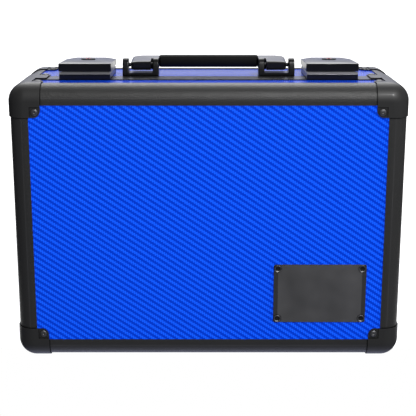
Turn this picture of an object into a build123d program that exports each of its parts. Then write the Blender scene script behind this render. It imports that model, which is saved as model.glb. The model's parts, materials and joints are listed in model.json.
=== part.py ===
"""Hard case for graded cards, standing upright with its handle on top.

The shallow front half is the lid and the deep rear half is the base. Both are
boxes of thin laminated panels held in aluminium edge extrusions, with drawn
steel corners riveted over the joints. Two hinges under the case carry the lid,
and two keyed lever latches and a folding carrying handle sit on its top.

Frame: X across the case, Y from the lid to the back, Z up. The origin is on
the floor under the middle of the case. Millimetres throughout.
"""

from build123d import *
import os

os.makedirs("parts", exist_ok=True)

# Overall case
case_width = 400.0
case_height = 288.0
case_depth = 160.0
lid_depth = 48.0
split_gap = 0.3
foot_height = 8.0
fit = 0.2  # slack round panels and other parts that slide together
seat = 0.3  # gap that keeps soft linings off the metal

# Panels and edge extrusions
panel_thickness = 3.0
edge_leg = 20.0
edge_radius = 16.5
corner_radius = 17.5
lip = 0.8  # outer leg of an extrusion, over the face of the panel
panel_gap = 0.1  # between a panel and the lip over it
inner_lip = 1.2
inner_reach = 18.0
groove_start = 12.8
edge_end = 21.0  # extrusions stop this far from the case's corners
panel_end = 17.7  # so do the side panels

# Closing frames round the split
lid_flange = 2.6
base_flange = 23.85
closing_block = 4.85
closing_width = 9.0
groove_depth = 3.5
groove_slack = 1.0
tongue = 2.5
lid_leg = 12.0
base_leg = 11.0

# Steel corners
skin = 1.3
corner_leg = 32.3
tab_length = 14.0
tab_round = 7.0
post_leg = 20.0
rivet_radius = 2.6
rivet_height = 1.3
rivet_slope = 30  # degrees from upright

# Foam
slab_width = 84.5
row_least_wall = 6.0  # least foam between two rows
row_end_wall = 9.6
foam_floor = 4.5

# Nameplate, placed from the right and lower edges of the case
plate_width = 96.0
plate_height = 63.0
plate_thickness = 1.2
plate_from_right = 84.5
plate_from_bottom = 71.0
plate_round = 2.0
plate_rivet_inset = 4.3
plate_rivet_radius = 3.7
plate_rivet_height = 0.8
plate_rivet_bore = 1.9
plate_rivet_dish = 0.4

# Hinges
hinge_from_side = 95.0
hinge_width = 60.0
hinge_knuckles = 5
hinge_gap = 0.3
leaf_thickness = 1.2
base_leaf = 21.5
lid_leaf = 24.0
leaf_rivet_depth = 12.9  # from the split to the rivets of a base leaf
leaf_rivet_spread = 20.0
knuckle_radius = 3.2
hinge_pin_radius = 1.5
running = 0.05  # radial clearance of a pin that turns
tight = 0.02  # radial clearance of a pin that is fixed

# Feet
foot_radius = 7.0
foot_taper = 1.0
foot_from_side = 45.0
front_foot_back = 12.0  # behind the split
rear_foot_from_back = 33.0

# Latches, with the depths of their features measured back from the split
latch_from_side = 72.5
latch_width = 54.0
plate_inset = 0.8  # the plate and keeper are this much narrower on each side
keeper_length = 3.0
latch_length = 66.0
keeper_height = 7.6
latch_groove = 2.4  # chamfers along the top of the keeper and of the plate
lever_set_back = 2.2  # the keeper's chamfer stands this far out in front of the lever
lever_gap = 0.3
lever_wall = 1.3
lever_edge = 15.8  # height of the lever's front and side edges
lever_ridge = 17.5
ridge_back = 7.5
lever_tail = 15.0
side_bevel = 11.0
latch_pin_back = 61.5
latch_pin_height = 11.0
latch_pin_radius = 1.25
ear_radius = 2.4
ear_width = 4.0
ear_root = 6.0
ear_x = 12.0
relief_back = 55.8
relief_height = 6.0
tail_chamfer = 2.5
lock_back = 34.0
lock_radius = 7.3
lock_height = 17.7
lock_rise = 1.7
lock_neck = 6.3
lock_chamfer = 0.4
keyway = (1.8, 6.5)
keyway_depth = 3.0
plug_radius = 5.5
plug_length = 6.9
cam_length = 11.0
cam_width = 6.0
cam_thickness = 1.2
catch_width = 8.0
catch_reach = 5.0  # from the cam, at rest, forward to the catch
catch_wall = 2.5
catch_length = 8.5
catch_thickness = 1.3

# Carrying handle, with its depths measured back from the split
bracket_clearance = 9.7  # between a bracket and the latch beside it
post_width = 6.4
post_gap = 25.4
bracket_length = 18.5
bracket_back = 24.5
bracket_floor = 3.2
post_radius = 7.0
handle_pin_height = 11.0
handle_pin_radius = 2.0
knuckle_gap = 2.3
arm_reach = 5.5  # of the arm in front of its pin and below it
arm_height = 12.2
arm_corner = 3.5
grip_overlap = 0.4  # the grip's end lies this far past the bracket's inner face
grip_back = 57.5
grip_height = 12.2
grip_thick = 13.0
grip_wide = 15.0
grip_round = 6.0
arm_notch = 11.5
arm_round = 10.0
arm_nose = 3.0  # rounding of the arm's outer end
tenon_radius = 4.0
tenon_length = 15.0

# Places that follow from the sizes
right = case_width / 2
front = -case_depth / 2
bottom = foot_height
top = bottom + case_height
middle = (bottom + top) / 2
slot = panel_thickness + 2 * fit
inner_level = lip + slot + inner_lip  # how far the extrusions reach inwards
panel_face = lip + panel_gap
panel_back = panel_face + panel_thickness
lid_split = lid_depth - split_gap / 2
base_split = lid_depth + split_gap / 2
latch_x = right - latch_from_side
latch_start = latch_x - latch_width / 2
latch_front = lid_depth - keeper_length
latch_back = lid_depth + latch_length
lever_front = latch_front + lever_set_back
ridge_depth = lid_depth + ridge_back
latch_pin_depth = lid_depth + latch_pin_back
relief_depth = lid_depth + relief_back
lock_depth = lid_depth + lock_back
bracket_front = lid_depth + bracket_back
bracket_outer = latch_start - bracket_clearance
bracket_inner = bracket_outer - 2 * post_width - post_gap
grip_length = 2 * (bracket_inner + grip_overlap)
grip_depth = lid_depth + grip_back

sides = {
    "top": (Vector(0, 0, -1), Vector(0, front, top), right),
    "bottom": (Vector(0, 0, 1), Vector(0, front, bottom), right),
    "left": (Vector(1, 0, 0), Vector(-right, front, middle), case_height / 2),
    "right": (Vector(-1, 0, 0), Vector(right, front, middle), case_height / 2),
}
corners = [
    ("top_left", True, False),
    ("top_right", False, False),
    ("bottom_left", True, True),
    ("bottom_right", False, True),
]


def save(part, label):
    """Label one finished piece and write it out."""
    part.label = label
    export_step(part, f"parts/{label}.step")


def across(origin, inward, deeper):
    """Section plane with its x axis inwards from a side and its y axis as given."""
    return Plane(origin=origin, x_dir=inward, z_dir=inward.cross(deeper))


def side_view(x=0.0, height=0.0):
    """Plane seen from the side: its x axis is depth behind the front, its y axis height."""
    return Plane(origin=(x, front, height), x_dir=(0, 1, 0), z_dir=(1, 0, 0))


def at_depth(depth):
    """Plane parallel to the front face, this far behind it, facing forwards."""
    return Plane.XZ.offset(-(front + depth))


def place(part, flip_x, flip_z, flip_y=False):
    """Mirror a piece made for the upper right front corner to another corner."""
    if flip_x:
        part = mirror(part, about=Plane.YZ, mode=Mode.PRIVATE)
    if flip_z:
        part = mirror(part, about=Plane.XY.offset(middle), mode=Mode.PRIVATE)
    if flip_y:
        part = mirror(part, about=Plane.XZ, mode=Mode.PRIVATE)
    return part


def ring(outer, inner, start, end):
    """Closed band between two levels inside the case's outline, from depth to depth."""
    with BuildPart() as band:
        with BuildSketch(at_depth(start)):
            with Locations((0, middle)):
                RectangleRounded(
                    case_width - 2 * outer, case_height - 2 * outer, corner_radius - outer
                )
                RectangleRounded(
                    case_width - 2 * inner,
                    case_height - 2 * inner,
                    corner_radius - inner,
                    mode=Mode.SUBTRACT,
                )
        extrude(amount=start - end)
    return band.part


def slab(level, start, end):
    """Solid block inside the case's outline at a level, from depth to depth."""
    with BuildPart() as block:
        with BuildSketch(at_depth(start)):
            with Locations((0, middle)):
                RectangleRounded(
                    case_width - 2 * level, case_height - 2 * level, corner_radius - level
                )
        extrude(amount=start - end)
    return block.part


def corner_block(grow, start, end, rounded):
    """Upper right corner of the case, grown by a skin, rounded to the front if asked."""
    reach = corner_leg
    size = reach + grow
    with BuildPart() as block:
        with BuildSketch(at_depth(start)) as outline:
            with Locations((right - reach + size / 2, top - reach + size / 2)):
                Rectangle(size, size)
            far = outline.vertices().sort_by(lambda v: v.X + v.Y)[-1]
            fillet(far, corner_radius + grow)
        extrude(amount=start - end)
        if rounded:
            rim = block.faces().sort_by(Axis.Y)[0].edges()
            rim = rim.filter_by(lambda e: e.center().X > right - reach + skin)
            rim = rim.filter_by(lambda e: e.center().Z > top - reach + skin)
            fillet(rim, edge_radius + grow)
    return block.part


def corner_tab(origin, along, over, near, far):
    """Tab that steps down from a corner onto the panel, and the pocket that makes room for it.

    along and over are the tab's two directions in its face, with along x over
    pointing out of the case. near and far are its corners in those directions.
    """
    face = Plane(origin=origin, x_dir=along, z_dir=along.cross(over))
    long_side = far[0] - near[0]
    short_side = far[1] - near[1]
    with BuildPart() as block:
        with BuildSketch(face.offset(-lip)) as outline:
            with Locations((near[0] + long_side / 2, near[1] + short_side / 2)):
                Rectangle(long_side, short_side)
            tip = outline.vertices().sort_by(lambda v: v.X + v.Y)[-1]
            fillet(tip, min(tab_round, short_side - fit))
        extrude(amount=skin)
    with BuildPart() as pocket:
        with BuildSketch(face.offset(-lip)):
            with Locations((near[0] + skin + long_side, near[1] + skin + short_side)):
                Rectangle(2 * long_side, 2 * short_side)
        extrude(amount=lip + 2 * skin)
    return block.part, pocket.part


def rivet(face_point, outward, radius=rivet_radius, height=rivet_height):
    """Head of a rivet, seated on a face."""
    with BuildPart() as head:
        with BuildSketch(Plane(origin=face_point, z_dir=outward)):
            Circle(radius)
        extrude(amount=height, taper=rivet_slope)
    return head.part


# Big panels at the front and the back
with BuildPart() as lid_front_panel:
    add(slab(groove_start + fit, panel_face, panel_back))
save(lid_front_panel.part, "lid_front_panel")

with BuildPart() as base_back_panel:
    add(place(lid_front_panel.part, False, False, True))
save(base_back_panel.part, "base_back_panel")

# Narrow panels round the lid and the base, and the extrusions along the big panels
for side, (inward, edge_line, half_run) in sides.items():
    deeper = Vector(0, 1, 0)
    section = across(edge_line, inward, deeper)
    lid_panel_start = groove_start + fit
    lid_panel_end = lid_split - lip - fit
    base_panel_start = base_split + closing_block + fit
    base_panel_end = case_depth - groove_start - fit

    with BuildPart() as lid_panel:
        with BuildSketch(section):
            with Locations((panel_face, lid_panel_start)):
                Rectangle(
                    panel_thickness, lid_panel_end - lid_panel_start, align=(Align.MIN, Align.MIN)
                )
        extrude(amount=half_run - panel_end, both=True)
    save(lid_panel.part, f"lid_{side}_panel")

    with BuildPart() as base_panel:
        with BuildSketch(section):
            with Locations((panel_face, base_panel_start)):
                Rectangle(
                    panel_thickness, base_panel_end - base_panel_start, align=(Align.MIN, Align.MIN)
                )
        extrude(amount=half_run - panel_end, both=True)
    save(base_panel.part, f"base_{side}_panel")

    with BuildPart() as edge:
        with BuildSketch(section):
            with BuildLine():
                CenterArc((edge_radius, edge_radius), edge_radius, 180, 90)
                inside = lip + slot
                Polyline(
                    (edge_radius, 0),
                    (edge_leg, 0),
                    (edge_leg, lip),
                    (groove_start, lip),
                    (groove_start, inside),
                    (inner_reach, inside),
                    (inner_reach, inner_level),
                    (inner_level, inner_level),
                    (inner_level, inner_reach),
                    (inside, inner_reach),
                    (inside, groove_start),
                    (lip, groove_start),
                    (lip, edge_leg),
                    (0, edge_leg),
                    (0, edge_radius),
                )
            make_face()
        extrude(amount=half_run - edge_end, both=True)
    save(edge.part, f"lid_{side}_edge")
    back_edge = mirror(edge.part, about=Plane.XZ)
    save(back_edge, f"base_{side}_edge")

# Closing frames: the lid's tongue enters the groove round the base
with BuildPart() as lid_closing_frame:
    add(ring(0, lip, lid_split - lid_flange, lid_split))
    add(ring(0, inner_level, lid_split - lip, lid_split))
    add(ring(lip + slot, inner_level, lid_split - lid_leg, lid_split + tongue))
save(lid_closing_frame.part, "lid_closing_frame")

with BuildPart() as base_closing_frame:
    block_end = base_split + closing_block
    add(ring(0, closing_width, base_split, block_end))
    add(ring(0, lip, base_split, base_split + base_flange))
    add(ring(lip + slot, inner_level, block_end, block_end + base_leg))
    groove = ring(
        lip + slot - groove_slack,
        inner_level + groove_slack,
        base_split,
        base_split + groove_depth,
    )
    add(groove, mode=Mode.SUBTRACT)
save(base_closing_frame.part, "base_closing_frame")

# Rounded posts up the four long corners of the base
post_start = base_split + base_flange + fit
post_end = case_depth - edge_leg - fit
with BuildPart() as corner_post:
    add(corner_block(0, post_start, post_end, False))
    add(corner_block(-lip, post_start, post_end, False), mode=Mode.SUBTRACT)
    with BuildSketch(at_depth(post_start)):
        with Locations((right - post_leg, top - post_leg)):
            Rectangle(post_leg, post_leg, align=(Align.MIN, Align.MIN))
    extrude(amount=post_start - post_end, mode=Mode.INTERSECT)
for corner, flip_x, flip_z in corners:
    save(place(corner_post.part, flip_x, flip_z), f"base_{corner}_post")

# Steel corners
corner_point = Vector(right, front, top)
into_x, into_y, into_z = Vector(-1, 0, 0), Vector(0, 1, 0), Vector(0, 0, -1)
face_tab = edge_leg + fit
side_tab = post_leg + fit
tab_end = face_tab + tab_length


def finish_corner(shell, near):
    """Trim a rounded shell behind its rim, and fold down the two tabs on its sides."""
    trim = near + skin
    with BuildPart() as corner:
        add(shell)
        with BuildSketch(at_depth(trim)):
            with Locations((right - side_tab - skin, top + skin)):
                Rectangle(2 * corner_leg, 2 * corner_leg, align=(Align.MAX, Align.MAX))
            with Locations((right + skin, top - side_tab - skin)):
                Rectangle(2 * corner_leg, 2 * corner_leg, align=(Align.MAX, Align.MAX))
        extrude(amount=-case_depth, mode=Mode.SUBTRACT)
        for along, over in ((into_y, into_x), (into_z, into_y)):
            if along == into_y:
                corner_spot = ((near, side_tab), (near + tab_length, corner_leg))
            else:
                corner_spot = ((side_tab, near), (corner_leg, near + tab_length))
            block, pocket = corner_tab(corner_point, along, over, *corner_spot)
            add(pocket, mode=Mode.SUBTRACT)
            add(block)
    return corner.part


with BuildPart() as lid_shell:
    flange_start = lid_split - lid_flange - fit
    add(corner_block(skin, -skin, lid_split - fit, True))
    add(corner_block(0, 0, face_tab, True), mode=Mode.SUBTRACT)
    add(corner_block(-lip, face_tab, flange_start, False), mode=Mode.SUBTRACT)
    add(corner_block(0, flange_start, lid_depth, False), mode=Mode.SUBTRACT)

with BuildPart() as back_shell:
    add(corner_block(skin, -skin, tab_end, True))
    add(corner_block(0, 0, lid_depth, True), mode=Mode.SUBTRACT)

front_block, front_pocket = corner_tab(
    corner_point, into_x, into_z, (face_tab, face_tab), (corner_leg, corner_leg)
)
with BuildPart() as lid_corner:
    add(finish_corner(lid_shell.part, face_tab))
    add(front_pocket, mode=Mode.SUBTRACT)
    add(front_block)
with BuildPart() as back_corner:
    add(finish_corner(back_shell.part, face_tab))
    add(front_pocket, mode=Mode.SUBTRACT)
    add(front_block)
for corner, flip_x, flip_z in corners:
    save(place(lid_corner.part, flip_x, flip_z), f"lid_{corner}_corner")
    save(place(back_corner.part, flip_x, flip_z, True), f"base_{corner}_corner")

rim_tab = base_split + base_flange + fit
with BuildPart() as rim_shell:
    add(corner_block(skin, base_split, rim_tab + tab_length, False))
    add(corner_block(0, base_split, rim_tab + tab_length, False), mode=Mode.SUBTRACT)
with BuildPart() as base_rim_corners:
    rim_corner = finish_corner(rim_shell.part, rim_tab)
    for corner, flip_x, flip_z in corners:
        add(place(rim_corner, flip_x, flip_z))
save(base_rim_corners.part, "base_rim_corners")

# Rivet heads on the corner tabs and on the hinge leaves
tab_level = lip - skin
face_spot = (face_tab + skin + corner_leg) / 2
side_spot = (side_tab + skin + corner_leg) / 2
half_tab = (skin + tab_length) / 2


def corner_rivets(near, on_face):
    """Rivet heads on the tabs of the upper right front corner."""
    with BuildPart() as heads:
        depth = front + near + half_tab
        add(rivet(Vector(right - side_spot, depth, top - tab_level), Vector(0, 0, 1)))
        add(rivet(Vector(right - tab_level, depth, top - side_spot), Vector(1, 0, 0)))
        if on_face:
            face_point = Vector(right - face_spot, front + tab_level, top - face_spot)
            add(rivet(face_point, Vector(0, -1, 0)))
    return heads.part


hinge_x = right - hinge_from_side
hinge_middles = (-hinge_x, hinge_x)
leaf_rivets = (-leaf_rivet_spread, 0, leaf_rivet_spread)
panel_leaf = panel_face - leaf_thickness  # outer face of the lid leaf on its panel
with BuildPart() as lid_rivets:
    for corner, flip_x, flip_z in corners:
        add(place(corner_rivets(face_tab, True), flip_x, flip_z))
    for hinge in hinge_middles:
        for across_leaf in leaf_rivets:
            depth = lid_depth - lid_leaf + base_leaf - leaf_rivet_depth
            spot = Vector(hinge + across_leaf, front + depth, bottom + panel_leaf)
            add(rivet(spot, Vector(0, 0, -1)))
save(lid_rivets.part, "lid_rivets")

with BuildPart() as base_rivets:
    for corner, flip_x, flip_z in corners:
        add(place(corner_rivets(rim_tab, False), flip_x, flip_z))
        add(place(corner_rivets(face_tab, True), flip_x, flip_z, True))
    for hinge in hinge_middles:
        for across_leaf in leaf_rivets:
            depth = lid_depth + leaf_rivet_depth
            spot = Vector(hinge + across_leaf, front + depth, bottom - leaf_thickness)
            add(rivet(spot, Vector(0, 0, -1)))
save(base_rivets.part, "base_rivets")

# Foam: rows for the cards in the base, and a flat pad in the lid
foam_level = inner_level + seat
foam_front = base_split + closing_block + seat
foam_back = case_depth - foam_level
slab_rows = int((case_width - 2 * foam_level - row_least_wall) // (slab_width + row_least_wall))
row_length = case_height - 2 * (foam_level + row_end_wall)
row_wall = (case_width - 2 * foam_level - slab_rows * slab_width) / (slab_rows + 1)
with BuildPart() as foam_insert:
    add(slab(foam_level, foam_front, foam_back))
    with BuildSketch(at_depth(foam_front)):
        with Locations((0, middle)):
            with GridLocations(slab_width + row_wall, 0, slab_rows, 1):
                Rectangle(slab_width, row_length)
    extrude(amount=foam_front + foam_floor - foam_back, mode=Mode.SUBTRACT)
save(foam_insert.part, "foam_insert")

with BuildPart() as lid_foam_pad:
    add(slab(foam_level, foam_level, foam_level + foam_floor))
save(lid_foam_pad.part, "lid_foam_pad")

# Nameplate and its four hollow rivets
with BuildPart() as nameplate:
    with BuildSketch(at_depth(panel_face)):
        with Locations((right - plate_from_right, bottom + plate_from_bottom)):
            RectangleRounded(plate_width, plate_height, plate_round)
    extrude(amount=plate_thickness)
save(nameplate.part, "nameplate")

with BuildPart() as nameplate_rivets:
    spread = (plate_width - 2 * plate_rivet_inset, plate_height - 2 * plate_rivet_inset)
    with BuildSketch(at_depth(panel_face - plate_thickness)):
        with Locations((right - plate_from_right, bottom + plate_from_bottom)):
            with GridLocations(*spread, 2, 2):
                Circle(plate_rivet_radius)
    extrude(amount=plate_rivet_height, taper=rivet_slope)
    with BuildSketch(at_depth(panel_face - plate_thickness - plate_rivet_height)):
        with Locations((right - plate_from_right, bottom + plate_from_bottom)):
            with GridLocations(*spread, 2, 2):
                Circle(plate_rivet_bore)
    extrude(amount=-plate_rivet_dish, mode=Mode.SUBTRACT)
save(nameplate_rivets.part, "nameplate_rivets")

# Rubber feet under the base: the front pair on the closing frame, the rear on the panel
foot_x = right - foot_from_side
with BuildPart() as base_feet:
    for foot_depth, seat_height in (
        (lid_depth + front_foot_back, foot_height),
        (case_depth - rear_foot_from_back, foot_height + panel_face),
    ):
        with BuildSketch(Plane.XY):
            with Locations((-foot_x, front + foot_depth), (foot_x, front + foot_depth)):
                Circle(foot_radius)
        extrude(amount=seat_height)
    chamfer(base_feet.faces().group_by(Axis.Z)[0].edges(), foot_taper)
save(base_feet.part, "base_feet")

# Hinges: the leaves' knuckles alternate on one pin under the split
knuckle_width = (hinge_width - (hinge_knuckles - 1) * hinge_gap) / hinge_knuckles
hinge_drop = knuckle_radius + seat
base_leaf_outline = [
    (lid_depth, 0),
    (lid_depth + base_leaf, 0),
    (lid_depth + base_leaf, -leaf_thickness),
    (lid_depth, -leaf_thickness),
]
step = lid_split - lid_flange - fit
lid_leaf_outline = [
    (lid_depth, 0),
    (step, 0),
    (step, panel_face),
    (lid_depth - lid_leaf, panel_face),
    (lid_depth - lid_leaf, panel_leaf),
    (step - leaf_thickness, panel_leaf),
    (step - leaf_thickness, -leaf_thickness),
    (lid_depth, -leaf_thickness),
]


def hinge_leaf(hinge, outline, first, clearance):
    """Leaf folded from plate, with every second knuckle, counted from the first."""
    start = hinge - hinge_width / 2
    with BuildPart() as leaf:
        with BuildSketch(side_view(start, bottom)):
            Polygon(*outline, align=None)
        extrude(amount=hinge_width)
        for index in range(hinge_knuckles):
            knuckle_start = start + index * (knuckle_width + hinge_gap)
            if index % 2 != first:
                with BuildSketch(side_view(knuckle_start - hinge_gap, bottom)):
                    with Locations((lid_depth, -hinge_drop)):
                        Rectangle(2 * hinge_drop, 4 * hinge_drop)
                extrude(amount=knuckle_width + 2 * hinge_gap, mode=Mode.SUBTRACT)
        for index in range(first, hinge_knuckles, 2):
            knuckle_start = start + index * (knuckle_width + hinge_gap)
            with BuildSketch(side_view(knuckle_start, bottom)):
                with Locations((lid_depth, -hinge_drop)):
                    Circle(knuckle_radius)
            extrude(amount=knuckle_width)
        with BuildSketch(side_view(start, bottom)):
            with Locations((lid_depth, -hinge_drop)):
                Circle(hinge_pin_radius + clearance)
        extrude(amount=hinge_width, mode=Mode.SUBTRACT)
    return leaf.part


with BuildPart() as hinge_base_leaves:
    for hinge in hinge_middles:
        add(hinge_leaf(hinge, base_leaf_outline, 0, tight))
save(hinge_base_leaves.part, "hinge_base_leaves")

with BuildPart() as hinge_lid_leaves:
    for hinge in hinge_middles:
        add(hinge_leaf(hinge, lid_leaf_outline, 1, running))
save(hinge_lid_leaves.part, "hinge_lid_leaves")

with BuildPart() as hinge_pins:
    for hinge in hinge_middles:
        with BuildSketch(side_view(hinge - hinge_width / 2, bottom)):
            with Locations((lid_depth, -hinge_drop)):
                Circle(hinge_pin_radius)
        extrude(amount=hinge_width)
save(hinge_pins.part, "hinge_pins")

# Latches, made on the right and mirrored to the left
keeper_back = lid_split - split_gap / 2
lever_floor = keeper_height + lever_gap
pin_spot = (latch_pin_depth, latch_pin_height)
plate_start = latch_start + plate_inset
plate_run = latch_width - 2 * plate_inset

with BuildPart() as keeper:
    with BuildSketch(side_view(plate_start, top)):
        Polygon(
            (latch_front, 0),
            (keeper_back, 0),
            (keeper_back, keeper_height),
            (latch_front + latch_groove, keeper_height),
            (latch_front, keeper_height - latch_groove),
            align=None,
        )
    extrude(amount=plate_run)
with BuildPart() as latch_keepers:
    add(keeper.part)
    add(place(keeper.part, True, False))
save(latch_keepers.part, "latch_keepers")

with BuildPart() as latch_plate:
    plate_step = base_split + base_flange + fit
    with BuildSketch(side_view(plate_start, top)):
        Polygon(
            (base_split + fit, 0),
            (plate_step, 0),
            (plate_step, -panel_face),
            (latch_back, -panel_face),
            (latch_back, relief_height),
            (relief_depth, relief_height),
            (relief_depth, keeper_height),
            (base_split + fit, keeper_height),
            align=None,
        )
    extrude(amount=plate_run)
    chamfer(latch_plate.edges().filter_by(Axis.Y).group_by(Axis.Z)[-1], latch_groove)
    for ear in (-ear_x - ear_width, ear_x):
        with BuildSketch(side_view(latch_x + ear, top)):
            with Locations(pin_spot):
                Circle(ear_radius)
            with Locations((latch_pin_depth, relief_height - seat)):
                Rectangle(ear_root, 2 * seat)
            make_hull()
        extrude(amount=ear_width)
    with BuildSketch(side_view(latch_start, top)):
        with Locations(pin_spot):
            Circle(latch_pin_radius + tight)
    extrude(amount=latch_width, mode=Mode.SUBTRACT)
    catch_front = lock_depth - cam_length - catch_reach
    cam_top = lock_height - seat - plug_length
    catch_floor = cam_top + seat
    with BuildSketch(side_view(latch_x - catch_width / 2, top)):
        Polygon(
            (catch_front, keeper_height),
            (catch_front + catch_wall, keeper_height),
            (catch_front + catch_wall, catch_floor),
            (catch_front + catch_length, catch_floor),
            (catch_front + catch_length, catch_floor + catch_thickness),
            (catch_front, catch_floor + catch_thickness),
            align=None,
        )
    extrude(amount=catch_width)
save(latch_plate.part, "latch_plate_right")
save(mirror(latch_plate.part, about=Plane.YZ), "latch_plate_left")


def bevel_plane(inset):
    """Plane of the lever's right bevel, moved inwards by a wall."""
    ridge = Vector(latch_x + latch_width / 2 - side_bevel, front + ridge_depth, top + lever_ridge)
    edge_point = Vector(latch_x + latch_width / 2, front + ridge_depth, top + lever_edge)
    tail_drop = Vector(0, latch_back - ridge_depth, lever_tail - lever_ridge)
    outward = tail_drop.cross(ridge - edge_point) * -1
    if outward.Z < 0:
        outward = outward * -1
    return Plane(origin=edge_point, z_dir=outward).offset(-inset)


def lever_form(inset, floor, tail):
    """Outer form of the lever, or its hollow when inset by the wall."""
    with BuildPart() as form:
        with BuildSketch(side_view(latch_start + inset, top)):
            Polygon(
                (lever_front + inset, floor),
                (lever_front + inset, lever_edge - inset),
                (ridge_depth, lever_ridge - inset),
                (tail, lever_tail - inset),
                (tail, lever_floor + tail_chamfer),
                (tail - tail_chamfer, floor),
                align=None,
            )
        extrude(amount=latch_width - 2 * inset)
        bevel = bevel_plane(inset)
        split(bisect_by=bevel, keep=Keep.BOTTOM)
        far_bevel = Plane(
            origin=(2 * latch_x - bevel.origin.X, bevel.origin.Y, bevel.origin.Z),
            z_dir=(-bevel.z_dir.X, bevel.z_dir.Y, bevel.z_dir.Z),
        )
        split(bisect_by=far_bevel, keep=Keep.BOTTOM)
    return form.part


with BuildPart() as latch_lever:
    add(lever_form(0, lever_floor, latch_back))
    add(lever_form(lever_wall, 0, latch_back + lever_wall), mode=Mode.SUBTRACT)
    with BuildSketch(side_view(latch_start, top)):
        with Locations(pin_spot):
            Circle(latch_pin_radius + running)
    extrude(amount=latch_width, mode=Mode.SUBTRACT)
    lock_spot = (latch_x, front + lock_depth)
    lock_seat = lock_height - lock_rise
    with BuildSketch(Plane.XY.offset(top + lock_seat)):
        with Locations(lock_spot):
            Circle(lock_radius + running)
    extrude(amount=lock_rise, mode=Mode.SUBTRACT)
    with BuildSketch(Plane.XY.offset(top + lever_floor)):
        with Locations(lock_spot):
            Circle(lock_neck + running)
    extrude(amount=lock_height, mode=Mode.SUBTRACT)
save(latch_lever.part, "latch_lever_right")
save(mirror(latch_lever.part, about=Plane.YZ), "latch_lever_left")

with BuildPart() as latch_pin:
    with BuildSketch(side_view(latch_start + fit, top)):
        with Locations(pin_spot):
            Circle(latch_pin_radius)
    extrude(amount=latch_width - 2 * fit)
with BuildPart() as latch_pins:
    add(latch_pin.part)
    add(place(latch_pin.part, True, False))
save(latch_pins.part, "latch_pins")

with BuildPart() as lock_bezel:
    with BuildSketch(Plane.XY.offset(top + lock_seat)):
        with Locations(lock_spot):
            Circle(lock_radius)
    extrude(amount=lock_rise)
    chamfer(lock_bezel.edges().group_by(Axis.Z)[-1], lock_chamfer)
    with BuildSketch(Plane.XY.offset(top + lock_seat)):
        with Locations(lock_spot):
            Circle(lock_neck)
    extrude(amount=-lock_rise)
    with BuildSketch(Plane.XY.offset(top + lock_seat - lock_rise)):
        with Locations(lock_spot):
            Circle(plug_radius + running)
    extrude(amount=2 * lock_rise, mode=Mode.SUBTRACT)
save(lock_bezel.part, "lock_bezel_right")
save(mirror(lock_bezel.part, about=Plane.YZ), "lock_bezel_left")

with BuildPart() as lock_plug:
    with BuildSketch(Plane.XY.offset(top + cam_top)):
        with Locations(lock_spot):
            Circle(plug_radius)
    extrude(amount=plug_length)
    with BuildSketch(Plane.XY.offset(top + cam_top + plug_length)):
        with Locations(lock_spot):
            Rectangle(*keyway)
    extrude(amount=-keyway_depth, mode=Mode.SUBTRACT)
    with BuildSketch(Plane.XY.offset(top + cam_top)):
        with Locations(lock_spot):
            Circle(cam_width / 2)
            with Locations((cam_length - cam_width / 2, 0)):
                Circle(cam_width / 2)
        make_hull()
    extrude(amount=-cam_thickness)
save(lock_plug.part, "lock_cylinder_right")
save(mirror(lock_plug.part, about=Plane.YZ), "lock_cylinder_left")

# Carrying handle: two riveted brackets, an arm on a pin in each, and a rubber grip
handle_pin_depth = bracket_front + bracket_length / 2
handle_pin_spot = (handle_pin_depth, handle_pin_height)
with BuildPart() as bracket:
    with BuildSketch(side_view(bracket_inner, top)):
        with Locations((bracket_front, -panel_face)):
            Rectangle(
                bracket_length, bracket_floor + panel_face, align=(Align.MIN, Align.MIN)
            )
    extrude(amount=bracket_outer - bracket_inner)
    for post in (bracket_inner, bracket_outer - post_width):
        with BuildSketch(side_view(post, top)):
            with Locations(handle_pin_spot):
                Circle(post_radius)
            with Locations((handle_pin_depth, bracket_floor / 2)):
                Rectangle(bracket_length, bracket_floor)
            make_hull()
        extrude(amount=post_width)
    with BuildSketch(side_view(bracket_inner, top)):
        with Locations(handle_pin_spot):
            Circle(handle_pin_radius + tight)
    extrude(amount=bracket_outer - bracket_inner, mode=Mode.SUBTRACT)
save(bracket.part, "handle_bracket_right")
save(mirror(bracket.part, about=Plane.YZ), "handle_bracket_left")

with BuildPart() as handle_pin:
    with BuildSketch(side_view(bracket_inner, top)):
        with Locations(handle_pin_spot):
            Circle(handle_pin_radius)
    extrude(amount=bracket_outer - bracket_inner)
with BuildPart() as handle_pins:
    add(handle_pin.part)
    add(place(handle_pin.part, True, False))
save(handle_pins.part, "handle_pins")

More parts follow.
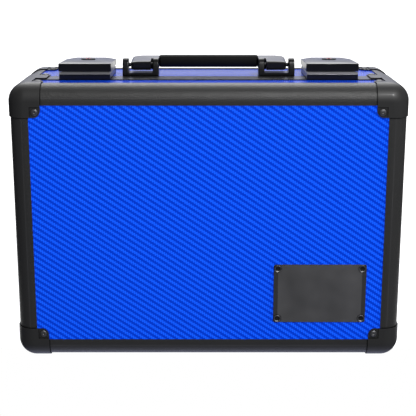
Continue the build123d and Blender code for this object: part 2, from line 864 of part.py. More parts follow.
knuckle_inner = bracket_inner + post_width + knuckle_gap
knuckle_outer = bracket_outer - post_width - knuckle_gap
arm_inner = grip_length / 2 + fit
arm_back = grip_depth + grip_thick / 2
with BuildPart() as handle_arm:
    with BuildSketch(side_view(arm_inner, top)):
        with Locations((handle_pin_depth, handle_pin_height - arm_reach + arm_height / 2)):
            RectangleRounded(2 * arm_reach, arm_height, arm_corner)
        with Locations((grip_depth, grip_height)):
            Circle(grip_thick / 2)
        make_hull()
    extrude(amount=knuckle_outer - arm_inner)
    fillet(handle_arm.faces().sort_by(Axis.X)[-1].edges(), arm_nose)
    with BuildSketch(Plane.XY.offset(top)) as arm_plan:
        with Locations((knuckle_inner, front + handle_pin_depth - arm_reach)):
            Rectangle(
                knuckle_outer - knuckle_inner,
                arm_back - handle_pin_depth + arm_reach,
                align=(Align.MIN, Align.MIN),
            )
        with Locations((arm_inner, front + handle_pin_depth + arm_notch)):
            Rectangle(
                knuckle_inner - arm_inner,
                arm_back - handle_pin_depth - arm_notch,
                align=(Align.MIN, Align.MIN),
            )
        fillet(arm_plan.vertices().sort_by(lambda v: v.X + v.Y)[-1], arm_round)
    extrude(amount=grip_height + grip_thick, mode=Mode.INTERSECT)
    with BuildSketch(side_view(arm_inner, top)):
        with Locations((grip_depth, grip_height)):
            Circle(tenon_radius)
    extrude(amount=-tenon_length)
    with BuildSketch(side_view(knuckle_inner, top)):
        with Locations(handle_pin_spot):
            Circle(handle_pin_radius + running)
    extrude(amount=knuckle_outer - knuckle_inner, mode=Mode.SUBTRACT)
save(handle_arm.part, "handle_arm_right")
save(mirror(handle_arm.part, about=Plane.YZ), "handle_arm_left")

with BuildPart() as handle_grip:
    with BuildSketch(side_view(0, top)):
        with Locations((grip_depth, grip_height)):
            RectangleRounded(grip_wide, grip_thick, grip_round)
    extrude(amount=grip_length / 2, both=True)
    for grip_end, inwards in ((-grip_length / 2, 1), (grip_length / 2, -1)):
        with BuildSketch(side_view(grip_end, top)):
            with Locations((grip_depth, grip_height)):
                Circle(tenon_radius + fit)
        extrude(amount=inwards * (tenon_length + fit), mode=Mode.SUBTRACT)
save(handle_grip.part, "handle_grip")
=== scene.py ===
"""Looks of the graded card case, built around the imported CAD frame. Lengths in metres."""

import json
import math

import bmesh
import bpy
import numpy as np
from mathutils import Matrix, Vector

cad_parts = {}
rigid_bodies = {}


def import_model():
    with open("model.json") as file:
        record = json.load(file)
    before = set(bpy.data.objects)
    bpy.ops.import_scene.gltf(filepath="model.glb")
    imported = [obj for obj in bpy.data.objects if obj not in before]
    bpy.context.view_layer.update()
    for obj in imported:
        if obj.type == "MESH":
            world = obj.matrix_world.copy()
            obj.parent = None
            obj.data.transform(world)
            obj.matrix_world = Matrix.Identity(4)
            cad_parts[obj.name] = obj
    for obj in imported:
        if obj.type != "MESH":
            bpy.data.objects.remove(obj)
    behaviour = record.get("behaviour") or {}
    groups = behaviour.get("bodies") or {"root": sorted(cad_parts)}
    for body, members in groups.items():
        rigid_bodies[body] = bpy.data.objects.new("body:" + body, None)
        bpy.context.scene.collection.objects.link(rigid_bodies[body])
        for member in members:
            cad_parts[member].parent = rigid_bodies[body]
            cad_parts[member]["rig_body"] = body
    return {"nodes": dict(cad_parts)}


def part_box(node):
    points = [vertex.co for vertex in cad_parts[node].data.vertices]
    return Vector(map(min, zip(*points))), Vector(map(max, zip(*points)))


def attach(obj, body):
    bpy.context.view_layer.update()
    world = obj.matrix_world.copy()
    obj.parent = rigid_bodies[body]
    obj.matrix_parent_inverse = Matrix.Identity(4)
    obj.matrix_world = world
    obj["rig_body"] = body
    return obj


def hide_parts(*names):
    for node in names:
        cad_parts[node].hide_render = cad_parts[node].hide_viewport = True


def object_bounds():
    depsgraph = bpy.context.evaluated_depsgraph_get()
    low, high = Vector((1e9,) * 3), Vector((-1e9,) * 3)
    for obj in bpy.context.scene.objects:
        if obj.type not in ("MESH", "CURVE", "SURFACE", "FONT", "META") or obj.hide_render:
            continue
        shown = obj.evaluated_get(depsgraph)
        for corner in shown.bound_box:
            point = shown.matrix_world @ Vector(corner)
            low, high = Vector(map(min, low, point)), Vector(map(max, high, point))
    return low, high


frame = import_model()
cad_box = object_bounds()

# Camera. It looks down at the front from about a metre away. Its lens, place
# and pitch come from the case's edges in the photograph, which shrink downwards.
FOCAL, WIDTH = 1029.0, 416.0  # of the photograph, in pixels
SENSOR = 36.0  # mm
PITCH = 14.6  # degrees under the horizon
camera_data = bpy.data.cameras.new("camera")
camera_data.sensor_width = SENSOR
camera_data.lens = SENSOR * FOCAL / WIDTH
camera = bpy.data.objects.new("camera", camera_data)
camera.location = (-0.0006, -1.0932, 0.4349)
camera.rotation_euler = (math.radians(90.0 - PITCH), 0.0, 0.0)
bpy.context.scene.collection.objects.link(camera)
bpy.context.scene.camera = camera
bpy.context.scene.view_settings.view_transform = "Standard"


# Studio. A bright backdrop, faintly violet, stands behind the case, curves over
# and under it, and shows in the glossy faces. The sides and the front are dark
# but for a lamp high on the right, a broad soft one lower down and a weak one
# to the right of the case.
def linear(code):
    """sRGB hex code to linear colour with alpha: ((c + 0.055) / 1.055) to the power 2.4."""
    parts = np.array([int(code[i : i + 2], 16) for i in (1, 3, 5)]) / 255.0
    bright = ((parts + 0.055) / 1.055) ** 2.4
    return (*np.where(parts <= 0.04045, parts / 12.92, bright).tolist(), 1.0)


def add(tree, kind, inputs=(), **settings):
    """Add a node with its settings. An input takes a value, a socket or a node's first output."""
    node = tree.nodes.new("ShaderNode" + kind)
    for name, value in settings.items():
        setattr(node, name, value)
    for name, value in dict(inputs).items():
        if isinstance(value, bpy.types.Node):
            value = value.outputs[0]
        if isinstance(value, bpy.types.NodeSocket):
            tree.links.new(value, node.inputs[name])
        else:
            node.inputs[name].default_value = value
    return node


def start(name):
    """New empty material and its node tree."""
    material = bpy.data.materials.new(name)
    material.use_nodes = True
    material.node_tree.nodes.clear()
    return material, material.node_tree


world = bpy.data.worlds.new("white studio")
bpy.context.scene.world = world
world.use_nodes = True
world.node_tree.nodes.clear()
tree = world.node_tree
rays = add(tree, "LightPath")
straight = {0: rays.outputs["Is Camera Ray"], 1: rays.outputs["Is Transmission Ray"]}
through = add(tree, "Math", straight, operation="MAXIMUM")
direction = add(tree, "TexCoord")
split = add(tree, "SeparateXYZ", {0: direction.outputs["Generated"]})
aside = add(tree, "Math", {0: split.outputs["X"]}, operation="ABSOLUTE")
# The backdrop is a product of smooth ramps over the direction's coordinates.
glow = 1.0
for value, low, high, first, last in (
    (split.outputs["Y"], -0.1, 0.5, 0.0, 1.0),  # bright behind
    (aside, 0.15, 0.6, 1.0, 0.03),  # dark at the sides
    (split.outputs["Z"], 0.6, 0.95, 1.0, 0.4),  # dimmer right overhead
    (split.outputs["Z"], 0.3, 0.55, 0.8, 5.2),  # brightest well over the horizon
):
    limits = {"Value": value, "From Min": low, "From Max": high, "To Min": first, "To Max": last}
    ramp = add(tree, "MapRange", limits, interpolation_type="SMOOTHSTEP")
    glow = add(tree, "Math", {0: ramp, 1: glow}, operation="MULTIPLY")
under = {"From Min": -0.7, "From Max": -1.0, "To Min": 0.04, "To Max": 0.95}
below = add(tree, "MapRange", {"Value": split.outputs["Z"], **under})
glow = add(tree, "Math", {0: glow, 1: below}, operation="ADD")
raised = add(tree, "MapRange", {"Value": split.outputs["Z"], "From Min": 0.25, "From Max": 0.5})
colours = {6: linear("#dadfff"), 7: linear("#ffffff")}
tint = add(tree, "Mix", {"Factor": raised, **colours}, data_type="RGBA")
soft = add(tree, "Background", {"Color": tint.outputs[2], "Strength": glow})
white = add(tree, "Background", {"Color": linear("#ffffff"), "Strength": 1.0})
both = add(tree, "MixShader", {0: through, 1: soft, 2: white})
add(tree, "OutputWorld", {"Surface": both})

AIM = (0.0, 0.0, 0.15)  # the case's middle, which all the lamps face
for lamp_name, position, size, watts, mirrored in (
    ("key lamp", (0.84, -1.98, 1.94), 0.28, 50.0, True),
    ("soft lamp", (-0.1, -2.3, 0.8), 1.2, 34.0, False),
    ("side lamp", (1.5, -0.2, 0.5), 0.8, 18.0, False),
):
    lamp_data = bpy.data.lights.new(lamp_name, "AREA")
    lamp_data.size = size
    lamp_data.energy = watts
    lamp = bpy.data.objects.new(lamp_name, lamp_data)
    lamp.location = position
    lamp.visible_glossy = mirrored
    x, y, z = np.array(AIM) - np.array(position)
    lamp.rotation_euler = (math.atan2(math.hypot(x, y), -z), 0.0, math.atan2(-x, y))
    bpy.context.scene.collection.objects.link(lamp)

# Floor, white as the photograph's background, with the case's shadow kept. To
# all but the camera it looks dark beside the case, as the studio does. The base
# stands at its front edge, so that the lid, whose hinges are underneath, can
# swing down past it.
EDGE, REACH = -0.034, 9.0
floor_mesh = bpy.data.meshes.new("floor")
ground = [(-REACH, EDGE, 0), (REACH, EDGE, 0), (REACH, REACH, 0), (-REACH, REACH, 0)]
floor_mesh.from_pydata(ground, [], [(0, 1, 2, 3)])
floor = bpy.data.objects.new("floor", floor_mesh)
bpy.context.scene.collection.objects.link(floor)
white_floor, tree = start("white floor")
rays = add(tree, "LightPath")
straight = {0: rays.outputs["Is Camera Ray"], 1: rays.outputs["Is Transmission Ray"]}
seen = add(tree, "Math", straight, operation="MAXIMUM")
place = add(tree, "TexCoord")
split = add(tree, "SeparateXYZ", {0: place.outputs["Object"]})
aside = add(tree, "Math", {0: split.outputs["X"]}, operation="ABSOLUTE")
# The lit strip under the case widens by half a metre for each metre back.
strip = add(tree, "Math", {0: split.outputs["Y"], 1: -0.5, 2: aside}, operation="MULTIPLY_ADD")
limits = {"Value": strip, "From Min": 0.12, "From Max": 0.45, "To Min": 1.0, "To Max": 0.0}
near = add(tree, "MapRange", limits, interpolation_type="SMOOTHSTEP")
lit = add(tree, "Math", {0: seen, 1: near}, operation="MAXIMUM")
shown = add(tree, "Math", {0: seen, 1: rays.outputs["Is Glossy Ray"]}, operation="MAXIMUM")
limits = {"From Min": 0.3, "From Max": 2.0, "To Min": 0.92, "To Max": 1.2}
far = add(tree, "MapRange", {"Value": split.outputs["Y"], **limits})
strength = add(tree, "Math", {0: lit, 1: shown}, operation="MULTIPLY")
strength = add(tree, "Math", {0: strength, 1: far}, operation="MULTIPLY")
colours = {6: linear("#0a0a0a"), 7: linear("#c4c4c4")}
colour = add(tree, "Mix", {"Factor": lit, **colours}, data_type="RGBA")
paint = add(tree, "BsdfDiffuse", {"Color": colour.outputs[2]})
light = add(tree, "Emission", {"Color": linear("#ffffff"), "Strength": strength})
both = add(tree, "AddShader", {0: paint, 1: light})
add(tree, "OutputMaterial", {"Surface": both})
floor_mesh.materials.append(white_floor)


# Wall panels of thin board with a printed laminate, a blue twill weave under a
# satin film, and black paper on the inside. They sit loose in the grooves of
# the metal edges.
def dress(material, *names):
    """Give CAD nodes a material."""
    for name in names:
        node = frame["nodes"][name]
        node.data.materials.clear()
        node.data.materials.append(material)


TOW = 0.00186  # width of one printed tow
LEAN = math.radians(-11.0)  # of the print on its panel
case_middle = np.mean(cad_box, axis=0)


def laminate(name, turn):
    """Printed two-by-two twill in the plane that turn brings to X and Y.

    With i and j the tow numbers along two axes, the warp lies on top where (i + j) mod 4 < 2.
    """
    material, tree = start(name)
    place = add(tree, "TexCoord")
    plane = add(tree, "Mapping", {"Vector": place.outputs["Object"], "Rotation": turn})
    print_axes = {"Vector": plane, "Rotation": (0, 0, LEAN), "Scale": (1 / TOW,) * 3}
    split = add(tree, "SeparateXYZ", {0: add(tree, "Mapping", print_axes)})
    across = [add(tree, "Math", {0: split.outputs[i]}, operation="FLOOR") for i in (0, 1)]
    within = [add(tree, "Math", {0: split.outputs[i]}, operation="FRACT") for i in (0, 1)]
    shift = add(tree, "Math", {0: across[0], 1: across[1]}, operation="ADD")
    step = add(tree, "Math", {0: shift, 1: 4.0}, operation="FLOORED_MODULO")
    warp = add(tree, "Math", {0: step, 1: 2.0}, operation="LESS_THAN")
    # Height of a tow: one minus the square of the distance from its middle line.
    crowns = []
    for position in within:
        middle = add(tree, "Math", {0: position, 1: 2.0, 2: -1.0}, operation="MULTIPLY_ADD")
        square = add(tree, "Math", {0: middle, 1: middle}, operation="MULTIPLY")
        crowns.append(add(tree, "Math", {0: 1.0, 1: square}, operation="SUBTRACT").outputs[0])
    heights = {"Factor": warp, 2: crowns[1], 3: crowns[0]}
    crown = add(tree, "Mix", heights, data_type="FLOAT")
    # Each tow is darker at its edges and lighter along its crown: painted shading of its rounded
    # section.
    shaded_tows = [
        add(tree, "Mix", {"Factor": crown, 6: linear(shaded_edge), 7: linear(lit_crown)}, data_type="RGBA")
        for shaded_edge, lit_crown in (("#002cb6", "#0038c8"), ("#084be8", "#125bf8"))
    ]
    shades = {"Factor": warp, 6: shaded_tows[0].outputs[2], 7: shaded_tows[1].outputs[2]}
    weave = add(tree, "Mix", shades, data_type="RGBA")
    bump = add(tree, "Bump", {"Height": crown, "Strength": 0.15, "Distance": 0.0001})
    # A face that looks back at the case's middle is the board's paper lining.
    offset = {0: place.outputs["Object"], 1: case_middle}
    outward = add(tree, "VectorMath", offset, operation="SUBTRACT")
    facing = {0: place.outputs["Normal"], 1: outward}
    facing = add(tree, "VectorMath", facing, operation="DOT_PRODUCT")
    outside = {0: facing.outputs["Value"], 1: 0.0}
    outside = add(tree, "Math", outside, operation="GREATER_THAN")
    sides = {"Factor": outside, 6: linear("#0e0e0f"), 7: weave.outputs[2]}
    colour = add(tree, "Mix", sides, data_type="RGBA")
    satin = add(tree, "MapRange", {"Value": outside, "To Min": 0.9, "To Max": 0.2})
    look = {"Base Color": colour.outputs[2], "Roughness": satin, "IOR": 1.55, "Normal": bump}
    add(tree, "OutputMaterial", {"Surface": add(tree, "BsdfPrincipled", look)})
    return material


quarter = math.pi / 2
front_weave = laminate("printed laminate, front and back", (-quarter, 0, 0))
dress(front_weave, "lid_front_panel", "base_back_panel")
level_weave = laminate("printed laminate, top and bottom", (0, 0, 0))
side_weave = laminate("printed laminate, sides", (-quarter, quarter, 0))
for half_name in ("lid", "base"):
    dress(level_weave, f"{half_name}_top_panel", f"{half_name}_bottom_panel")
    dress(side_weave, f"{half_name}_left_panel", f"{half_name}_right_panel")


# Edge extrusions and corner posts of aluminium, black powder coated: satin,
# with an orange peel whose peaks glitter where the lamp grazes them. The seams
# carry painted shade, near black, and handling has rubbed the arrises.
# Near black for the seams: painted shade where the parts meet.
SEAM_SHADE = linear("#020202")
ARRIS = 0.0006  # reach of the rubbing from an arris


def coat(
    name,
    colour,
    roughness,
    grain,
    depth,
    worn="#4a4a4c",
    metal=0.0,
    lacquer=0.0,
    ior=1.5,
    seam_reach=0.0025,
    glitter=0.0,
):
    """Film with an orange peel of a grain size and depth in metres.

    Arrises turn to the worn colour. Within seam_reach of a neighbour the colour turns near
    black and matte: painted shade. The peel's peaks are smoother than its valleys by glitter.
    """
    material, tree = start(name)
    spot = add(tree, "TexCoord").outputs["Object"]
    peel = add(tree, "TexNoise", {"Vector": spot, "Scale": 1 / grain, "Detail": 3.0})
    wide = add(tree, "TexNoise", {"Vector": spot, "Scale": 25.0, "Detail": 2.0})
    swing = {"To Min": roughness - 0.05, "To Max": roughness + 0.05}
    shine = add(tree, "MapRange", {"Value": wide, **swing})
    peaks = {"Value": peel, "From Min": 0.5, "From Max": 0.6, "To Min": 0.0, "To Max": glitter}
    shine = {0: shine, 1: add(tree, "MapRange", peaks)}
    shine = add(tree, "Math", shine, operation="SUBTRACT")
    # Ambient occlusion finds the seams that get the painted shade.
    seam = add(tree, "AmbientOcclusion", {"Distance": seam_reach}, samples=8)
    limits = {"Value": seam.outputs["AO"], "From Min": 0.45, "From Max": 0.9}
    unshaded = add(tree, "MapRange", limits)
    arris = add(tree, "AmbientOcclusion", {"Distance": ARRIS}, samples=8, inside=True)
    limits = {"From Min": 0.4, "From Max": 0.9, "To Min": 0.6, "To Max": 0.0}
    rub = add(tree, "MapRange", {"Value": arris.outputs["AO"], **limits})
    patchy = add(tree, "Math", {0: rub, 1: wide}, operation="MULTIPLY")
    wear = {"Factor": patchy, 6: linear(colour), 7: linear(worn)}
    rubbed = add(tree, "Mix", wear, data_type="RGBA")
    seam_shade_mix = {"Factor": unshaded, 6: SEAM_SHADE, 7: rubbed.outputs[2]}
    shade = add(tree, "Mix", seam_shade_mix, data_type="RGBA")
    bump = add(tree, "Bump", {"Height": peel, "Strength": 0.6, "Distance": depth})
    look = {
        "Base Color": shade.outputs[2],
        "Metallic": metal,
        "Roughness": shine,
        "IOR": ior,
        "Normal": bump,
        "Coat Weight": lacquer,
        "Coat Roughness": 0.1,
    }
    shader = add(tree, "BsdfPrincipled", look)
    # In a seam the painted shade is matte as well as dark.
    seam_shade_shader = add(tree, "BsdfDiffuse", {"Color": SEAM_SHADE})
    film = add(tree, "MixShader", {0: unshaded, 1: seam_shade_shader, 2: shader})
    add(tree, "OutputMaterial", {"Surface": film})
    return material


corner_names = [f"{v}_{h}" for v in ("top", "bottom") for h in ("left", "right")]
extrusion = coat(
    "black powder coat on aluminium", "#252525", 0.47, grain=0.0011, depth=0.0006, glitter=0.14
)
for side in ("top", "bottom", "left", "right"):
    dress(extrusion, f"lid_{side}_edge", f"base_{side}_edge")
for corner in corner_names:
    dress(extrusion, f"base_{corner}_post")

# Closing frames round the split, mitred from thinner extrusions and anodised
# black, so they are smoother than the coated edges. They clasp the side panels.
anodised = coat("black anodised aluminium", "#1b1b1d", 0.28, grain=0.0012, depth=0.00006)
dress(anodised, "lid_closing_frame", "base_closing_frame")

# Drawn steel corners over the joints of the extrusions, each with tabs that
# step down to the panels. Black coated after drawing, so smoother than the edges.
steel = coat(
    "black powder coat on steel", "#212121", 0.52, grain=0.0016, depth=0.00007, lacquer=0.12
)
for corner in corner_names:
    dress(steel, f"lid_{corner}_corner", f"base_{corner}_corner")
dress(steel, "base_rim_corners")


# Rivets of blackened steel through the tabs and the hinge leaves, their heads
# domed by the setting tool.
def skin(name, rings, material, body):
    """Closed surface, or several, over an array of rings x points x 3, capped at both ends."""
    count, around = rings.shape[-3:-1]
    index = np.arange(rings.size // 3).reshape(-1, count, around)
    onward = np.roll(index, -1, axis=2)
    quads = np.stack([index[:, :-1], onward[:, :-1], onward[:, 1:], index[:, 1:]], -1)
    faces = quads.reshape(-1, 4).tolist() + index[:, [0, -1]].reshape(-1, around).tolist()
    mesh = bpy.data.meshes.new(name)
    mesh.from_pydata(rings.reshape(-1, 3).tolist(), [], faces)
    form = bmesh.new()
    form.from_mesh(mesh)
    bmesh.ops.recalc_face_normals(form, faces=form.faces)
    form.to_mesh(mesh)
    form.free()
    mesh.shade_smooth()
    mesh.set_sharp_from_angle(angle=math.radians(40))
    mesh.materials.append(material)
    piece = bpy.data.objects.new(name, mesh)
    bpy.context.scene.collection.objects.link(piece)
    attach(piece, body)
    return piece


def solids(name):
    """Lowest and highest corner of each separate solid in a CAD node."""
    mesh = frame["nodes"][name].data
    points = np.empty(3 * len(mesh.vertices))
    mesh.vertices.foreach_get("co", points)
    ends = np.empty(2 * len(mesh.edges), dtype=int)
    mesh.edges.foreach_get("vertices", ends)
    points, same = np.unique(points.reshape(-1, 3).round(6), axis=0, return_inverse=True)
    pairs = same.ravel()[ends.reshape(-1, 2)]
    # Each point takes the least number among its neighbours until none changes.
    label, before = np.arange(len(points)), None
    while before is None or (label != before).any():
        before = label.copy()
        for end in (0, 1):
            np.minimum.at(label, pairs[:, end], before[pairs].min(axis=1))
    groups = [points[label == number] for number in np.unique(label)]
    return np.array([(group.min(axis=0), group.max(axis=0)) for group in groups])


def heads(name, radii, heights, around=28):
    """A turned profile, radii and heights over the face, round each rivet of a CAD node.

    The rivet's axis is the thin side of its box, and points away from the case's middle.
    A point of the profile is foot + height x axis + radius x (cos t x across + sin t x up).
    """
    low, high = np.moveaxis(solids(name), 1, 0)
    centre, thickness = (low + high) / 2, high - low
    thin = np.argmin(thickness, axis=1)
    axis = np.eye(3)[thin] * np.sign(centre - case_middle)
    foot = centre - axis * thickness.min(axis=1)[:, None] / 2
    across = np.roll(np.abs(axis), 1, axis=1)
    up = np.cross(axis, across)
    turn = np.linspace(0, 2 * np.pi, around, endpoint=False)[:, None]
    circle = np.cos(turn) * across[:, None] + np.sin(turn) * up[:, None]
    rise = heights[:, None, None] * axis[:, None, None]
    return foot[:, None, None] + rise + radii[:, None, None] * circle[:, None]


rivet_steel = coat(
    "blackened rivet steel",
    "#6a6a6c",
    0.45,
    grain=0.001,
    depth=0.00003,
    worn="#78787a",
    metal=0.85,
    seam_reach=0.0006,
)
# Head: a dome, with a dimple left by the setting tool.
HEAD, DIMPLE = 0.0036, 0.0013  # radii
DOME, DIP = 0.0013, 0.0006  # height of the dome and depth of its dimple
t = np.linspace(0, np.pi / 2, 8)
inward = np.linspace(1, 0.05, 5)
dome_radii = np.concatenate([DIMPLE + (HEAD - DIMPLE) * np.cos(t), DIMPLE * inward])
dome_heights = np.concatenate([DOME * np.sin(t), DOME - DIP * (1 - inward**2)])
for half_name in ("lid", "base"):
    rings = heads(f"{half_name}_rivets", dome_radii, dome_heights)
    rivets = skin(f"{half_name}_rivet_heads", rings, rivet_steel, half_name)
    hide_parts(f"{half_name}_rivets")


# Nameplate: a stamped black carrier with a satin grey face between its end
# bars, held by four hollow rivets. The face is left blank.
def rounded(name, material, width, segments=3, least=0.0, cuts=(), bend=None):
    """Copy of a CAD node in its place, with its sharp edges over a least length rounded.

    Its faces may first be cut across at places on X, and its points moved by a function.
    """
    node = frame["nodes"][name]
    form = bmesh.new()
    form.from_mesh(node.data)
    bmesh.ops.remove_doubles(form, verts=form.verts, dist=1e-6)
    flat = math.radians(1)
    bmesh.ops.dissolve_limit(form, angle_limit=flat, verts=form.verts, edges=form.edges)
    for cut in cuts:
        every = [*form.verts, *form.edges, *form.faces]
        bmesh.ops.bisect_plane(form, geom=every, plane_co=(cut, 0, 0), plane_no=(1, 0, 0))
    sharp = math.radians(30)
    weights = [
        float(edge.calc_face_angle(0.0) > sharp and edge.calc_length() > least)
        for edge in form.edges
    ]
    mesh = bpy.data.meshes.new(name + "_rounded")
    form.to_mesh(mesh)
    form.free()
    if bend:
        points = np.empty(3 * len(mesh.vertices))
        mesh.vertices.foreach_get("co", points)
        mesh.vertices.foreach_set("co", bend(points.reshape(-1, 3)).ravel())
    if "custom_normal" in mesh.attributes:
        mesh.attributes.remove(mesh.attributes["custom_normal"])
    bevelled = mesh.attributes.new("bevel_weight_edge", "FLOAT", "EDGE")
    bevelled.data.foreach_set("value", weights)
    mesh.shade_smooth()
    mesh.set_sharp_from_angle(angle=sharp)
    mesh.materials.clear()
    mesh.materials.append(material)
    piece = bpy.data.objects.new(name + "_rounded", mesh)
    bpy.context.scene.collection.objects.link(piece)
    bevel = piece.modifiers.new("rounding", "BEVEL")
    bevel.limit_method = "WEIGHT"
    bevel.width = width
    bevel.segments = segments
    bevel.harden_normals = True
    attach(piece, node["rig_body"])
    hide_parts(name)
    return piece


def middle_and_half(name):
    """Middle of a node's box and half of its size."""
    low, high = (np.array(corner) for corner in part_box(name))
    return (low + high) / 2, (high - low) / 2


carrier = coat("black nameplate carrier", "#2a2a2b", 0.45, grain=0.0008, depth=0.00004)
rounded("nameplate", carrier, 0.0004, segments=2)
# Eyelet: a rim that slopes into a shallow bore, painted near black as the shade of a deep hole.
rim_radii = np.array([3.8, 3.8, 3.75, 3.6, 3.45, 2.6, 2.5, 2.4, 0.1]) / 1000
rim_heights = np.array([0.0, 0.5, 0.7, 0.8, 0.75, 0.3, 0.2, 0.12, 0.12]) / 1000
RIM_BANDS = 6  # of the profile, before the bore starts
rings = heads("nameplate_rivets", rim_radii, rim_heights)
eyelets = skin("nameplate_eyelets", rings, rivet_steel, "lid")
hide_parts("nameplate_rivets")
# The bore's near-black finish is painted shade: the hole is only a shallow dish.
bore_painted_shade = coat(
    "painted shade inside an eyelet", "#050505", 0.6, grain=0.001, depth=0.00005, worn="#0a0a0a"
)
eyelets.data.materials.append(bore_painted_shade)
in_shaded_bore = np.repeat(np.arange(len(rim_radii) - 1) >= RIM_BANDS, rings.shape[2])
faces = np.concatenate([np.tile(in_shaded_bore, len(rings)), np.tile([False, True], len(rings))])
eyelets.data.polygons.foreach_set("material_index", faces.astype(np.int32))
END_BAR = 0.0044  # width of the carrier that shows at each end
BORDER = 0.0003  # and along its top and bottom
FACE_RISE = 0.0003  # of the face over the carrier, at its middle line
CROWN = 0.7  # share of that rise lost towards the ends
centre, half = middle_and_half("nameplate")
# Section of the face: rise x (1 - crown x u^2) over the plate, flat on the carrier behind.
u, back = np.meshgrid(np.linspace(-1, 1, 25), (0.0, 1.0), indexing="ij")
rise = FACE_RISE * (1 - CROWN * u**2) * (1 - back)
section = np.stack([centre[0] + u * (half[0] - END_BAR), centre[1] - half[1] - rise], -1)
loop = np.concatenate([section[:, 0], section[::-1, 1]])
levels = centre[2] + np.array([-1.0, 1.0]) * (half[2] - BORDER)
rings = np.stack([np.column_stack([loop, np.full(len(loop), level)]) for level in levels])
satin_grey = coat(
    "satin grey face", "#202021", 0.5, grain=0.0012, depth=0.00003, worn="#606062"
)
skin("nameplate_face", rings, satin_grey, "lid")

# Foam: rows for the cards in the base, and a flat pad in the lid, both die-cut
# from closed-cell polyethylene foam and glued in.
foam = coat(
    "black closed-cell foam", "#161616", 0.95, grain=0.0009, depth=0.0004, worn="#202020"
)
rounded("foam_insert", foam, 0.0012)
rounded("lid_foam_pad", foam, 0.0012)

# Feet of moulded rubber, and hinges of black steel plate rolled round a bright
# pin. Both are screwed or riveted under the case.
rubber = coat("black rubber", "#0a0a0a", 0.55, grain=0.0008, depth=0.0001, worn="#161616")
rounded("base_feet", rubber, 0.0006)
rounded("hinge_lid_leaves", steel, 0.0003, segments=2)
rounded("hinge_base_leaves", steel, 0.0003, segments=2)
bright_pin = coat(
    "bright zinc-plated pin",
    "#c8c8cc",
    0.3,
    grain=0.001,
    depth=0.00004,
    worn="#d8d8dc",
    metal=1.0,
)
rounded("hinge_pins", bright_pin, 0.0003, segments=2)

# Latch keepers on the lid, die-cast in zinc and painted black. Their chamfer, facing
# up and forward, is given bright bare zinc as a painted reflection of the backdrop.
casting = coat(
    "black paint on zinc casting", "#0b0b0d", 0.3, grain=0.001, depth=0.00003, worn="#39393c"
)
keepers = rounded("latch_keepers", casting, 0.0003, segments=2)
chamfer_reflection_zinc = coat(
    "bright zinc on keeper chamfers, painted reflection",
    "#c8c8d0",
    0.4,
    grain=0.0012,
    depth=0.00005,
    worn="#d0d0d4",
    metal=1.0,
)
keepers.data.materials.append(chamfer_reflection_zinc)
normals = np.empty(3 * len(keepers.data.polygons))
keepers.data.polygons.foreach_get("normal", normals)
_, towards_back, upwards = normals.reshape(-1, 3).T
# Faces that look up and forward take the bright zinc: painted reflection.
chamfer = (towards_back < -0.5) & (upwards > 0.5)
keepers.data.polygons.foreach_set("material_index", chamfer.astype(np.int32))

# Latch plates on the base with two ears each, and latch levers, hollow castings
# that hook over the keepers and swing up on a steel pin through the ears.
for side in ("left", "right"):
    rounded(f"latch_plate_{side}", casting, 0.0003, segments=2, least=0.002)
    rounded(f"latch_lever_{side}", casting, 0.0006, least=0.002)
rounded("latch_pins", bright_pin, 0.0002, segments=2)

# Locks: a bezel pressed into the lever and a cylinder with a red enamelled dot
# and a keyhole.
DOT = 0.0025  # radius
BLUR = 0.0001  # of the dot's outline
centre, _ = middle_and_half("lock_bezel_right")
enamel, tree = start("black lock face with red enamel dot")
place = add(tree, "TexCoord")
split = add(tree, "SeparateXYZ", {0: place.outputs["Object"]})
away = add(tree, "Math", {0: split.outputs["X"]}, operation="ABSOLUTE")
level = add(tree, "CombineXYZ", {"X": away, "Y": split.outputs["Y"]})
axis_place = (centre[0], centre[1], 0.0)
distance = add(tree, "VectorMath", {0: level, 1: axis_place}, operation="DISTANCE")
limits = {"From Min": DOT - BLUR, "From Max": DOT + BLUR, "To Min": 1.0, "To Max": 0.0}
dot = add(tree, "MapRange", {"Value": distance.outputs["Value"], **limits})
upper = add(tree, "Math", {0: split.outputs["Z"], 1: centre[2]}, operation="GREATER_THAN")
dot = add(tree, "Math", {0: dot, 1: upper}, operation="MULTIPLY")
speckle = {"Vector": place.outputs["Object"], "Scale": 900.0, "Detail": 3.0}
reds = {"Factor": add(tree, "TexNoise", speckle), 6: linear("#d01008"), 7: linear("#e8281c")}
red = add(tree, "Mix", reds, data_type="RGBA")
colours = {"Factor": dot, 6: linear("#0b0b0d"), 7: red.outputs[2]}
colour = add(tree, "Mix", colours, data_type="RGBA")
shader = add(tree, "BsdfPrincipled", {"Base Color": colour.outputs[2], "Roughness": 0.3})
add(tree, "OutputMaterial", {"Surface": shader})
for side in ("left", "right"):
    rounded(f"lock_bezel_{side}", casting, 0.0002, segments=2)
    dress(enamel, f"lock_cylinder_{side}")

# Handle brackets, each two posts on a strap, cast in zinc and painted. A steel
# pin through both posts carries the handle's arm.
for side in ("left", "right"):
    rounded(f"handle_bracket_{side}", casting, 0.0013, segments=4, least=0.0004)
rounded("handle_pins", bright_pin, 0.0002, segments=2)

# Handle arms, moulded in black nylon with soft edges. Each turns on its pin and
# plugs into the grip.
nylon = coat(
    "black moulded nylon", "#0d0d0f", 0.3, grain=0.001, depth=0.00003, worn="#232326"
)
NOSE = 0.013  # length over which an arm is rounded at its outer end, seen from above
DRAW = 0.009  # how far its back comes forward there
FALL = 0.0016  # and how far its top comes down
SLOPE = 0.003  # fall of its top from back to front
CLEAR = 0.0003  # round the pin's bore, which stays as it is
centre, half = middle_and_half("handle_arm_right")
outer_end, highest = centre[0] + half[0], (centre + half)[1:]
lowest = np.array(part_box("handle_pins")[1])[1:] + CLEAR


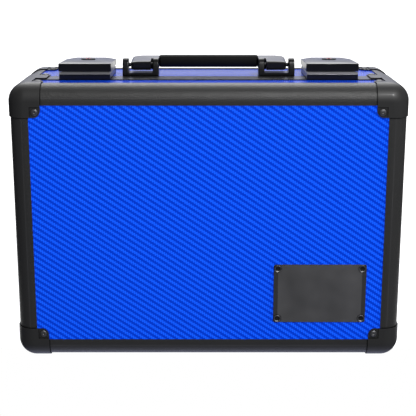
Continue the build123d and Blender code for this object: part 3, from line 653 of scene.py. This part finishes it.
def nose(points):
    """Draw points in by a length x (1 - sqrt(1 - u^2)) x their share, u from 0 to 1 at the end.

    The back comes forward by the share of the depth, and the top comes down by that of the
    height, both counted from the pin's bore. The top also slopes, by
    SLOPE x (1 - share of the depth) x share of the height.
    """
    u = np.clip((np.abs(points[:, 0]) - outer_end) / NOSE + 1, 0, 1)
    drawn = 1 - np.sqrt(1 - u**2)
    y_share, z_share = np.clip((points[:, 1:] - lowest) / (highest - lowest), 0, 1).T
    lowered = (FALL * drawn + SLOPE * (1 - y_share)) * z_share
    return points - np.stack([0 * u, DRAW * drawn * y_share, lowered], axis=1)


cuts = outer_end - NOSE * (1 - np.sin(np.linspace(0, np.pi / 2, 12)[:-1]))
for side, sign in (("left", -1), ("right", 1)):
    rounded(f"handle_arm_{side}", nylon, 0.0012, segments=4, cuts=sign * cuts, bend=nose)


# Grip, a black foam-rubber tube pushed over the tenons of both arms. Its ends
# are rounded and its skin is finely pitted.
def bar(outline, start_x, end_x, radius, steps=6):
    """Rings along X of an outline in Y and Z with both ends rounded.

    At depth r (1 - cos t) from an end the outline is drawn in by r (1 - sin t) on its normals.
    """
    run = np.roll(outline, -1, axis=0) - np.roll(outline, 1, axis=0)
    normal = np.column_stack([run[:, 1], -run[:, 0]]) / np.hypot(run[:, 0], run[:, 1])[:, None]
    t = np.linspace(0, np.pi / 2, steps)
    insets = radius * (1 - np.sin(t))
    depths = radius * (1 - np.cos(t))
    places = np.concatenate([start_x + depths, (end_x - depths)[::-1]])
    drawn_in = np.concatenate([insets, insets[::-1]])
    shape = outline - drawn_in[:, None, None] * normal
    x = np.broadcast_to(places[:, None, None], (*shape.shape[:2], 1))
    return np.concatenate([x, shape], -1)


centre, half = middle_and_half("handle_grip")
# Section: |y / a|^n + |z / b|^n = 1, between an ellipse and a rounded box.
POWER = 2.6
END_RADIUS = 0.0015
angle = np.linspace(0, 2 * np.pi, 64, endpoint=False)
wave = np.column_stack([np.cos(angle), np.sin(angle)])
outline = centre[1:] + half[1:] * np.sign(wave) * np.abs(wave) ** (2 / POWER)
rings = bar(outline, centre[0] - half[0], centre[0] + half[0], END_RADIUS)
grip_rubber = coat(
    "black foam rubber", "#030303", 0.7, grain=0.0012, depth=0.0002, worn="#0a0a0a", ior=1.3
)
grip = skin("grip_tube", rings, grip_rubber, "handle")
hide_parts("handle_grip")
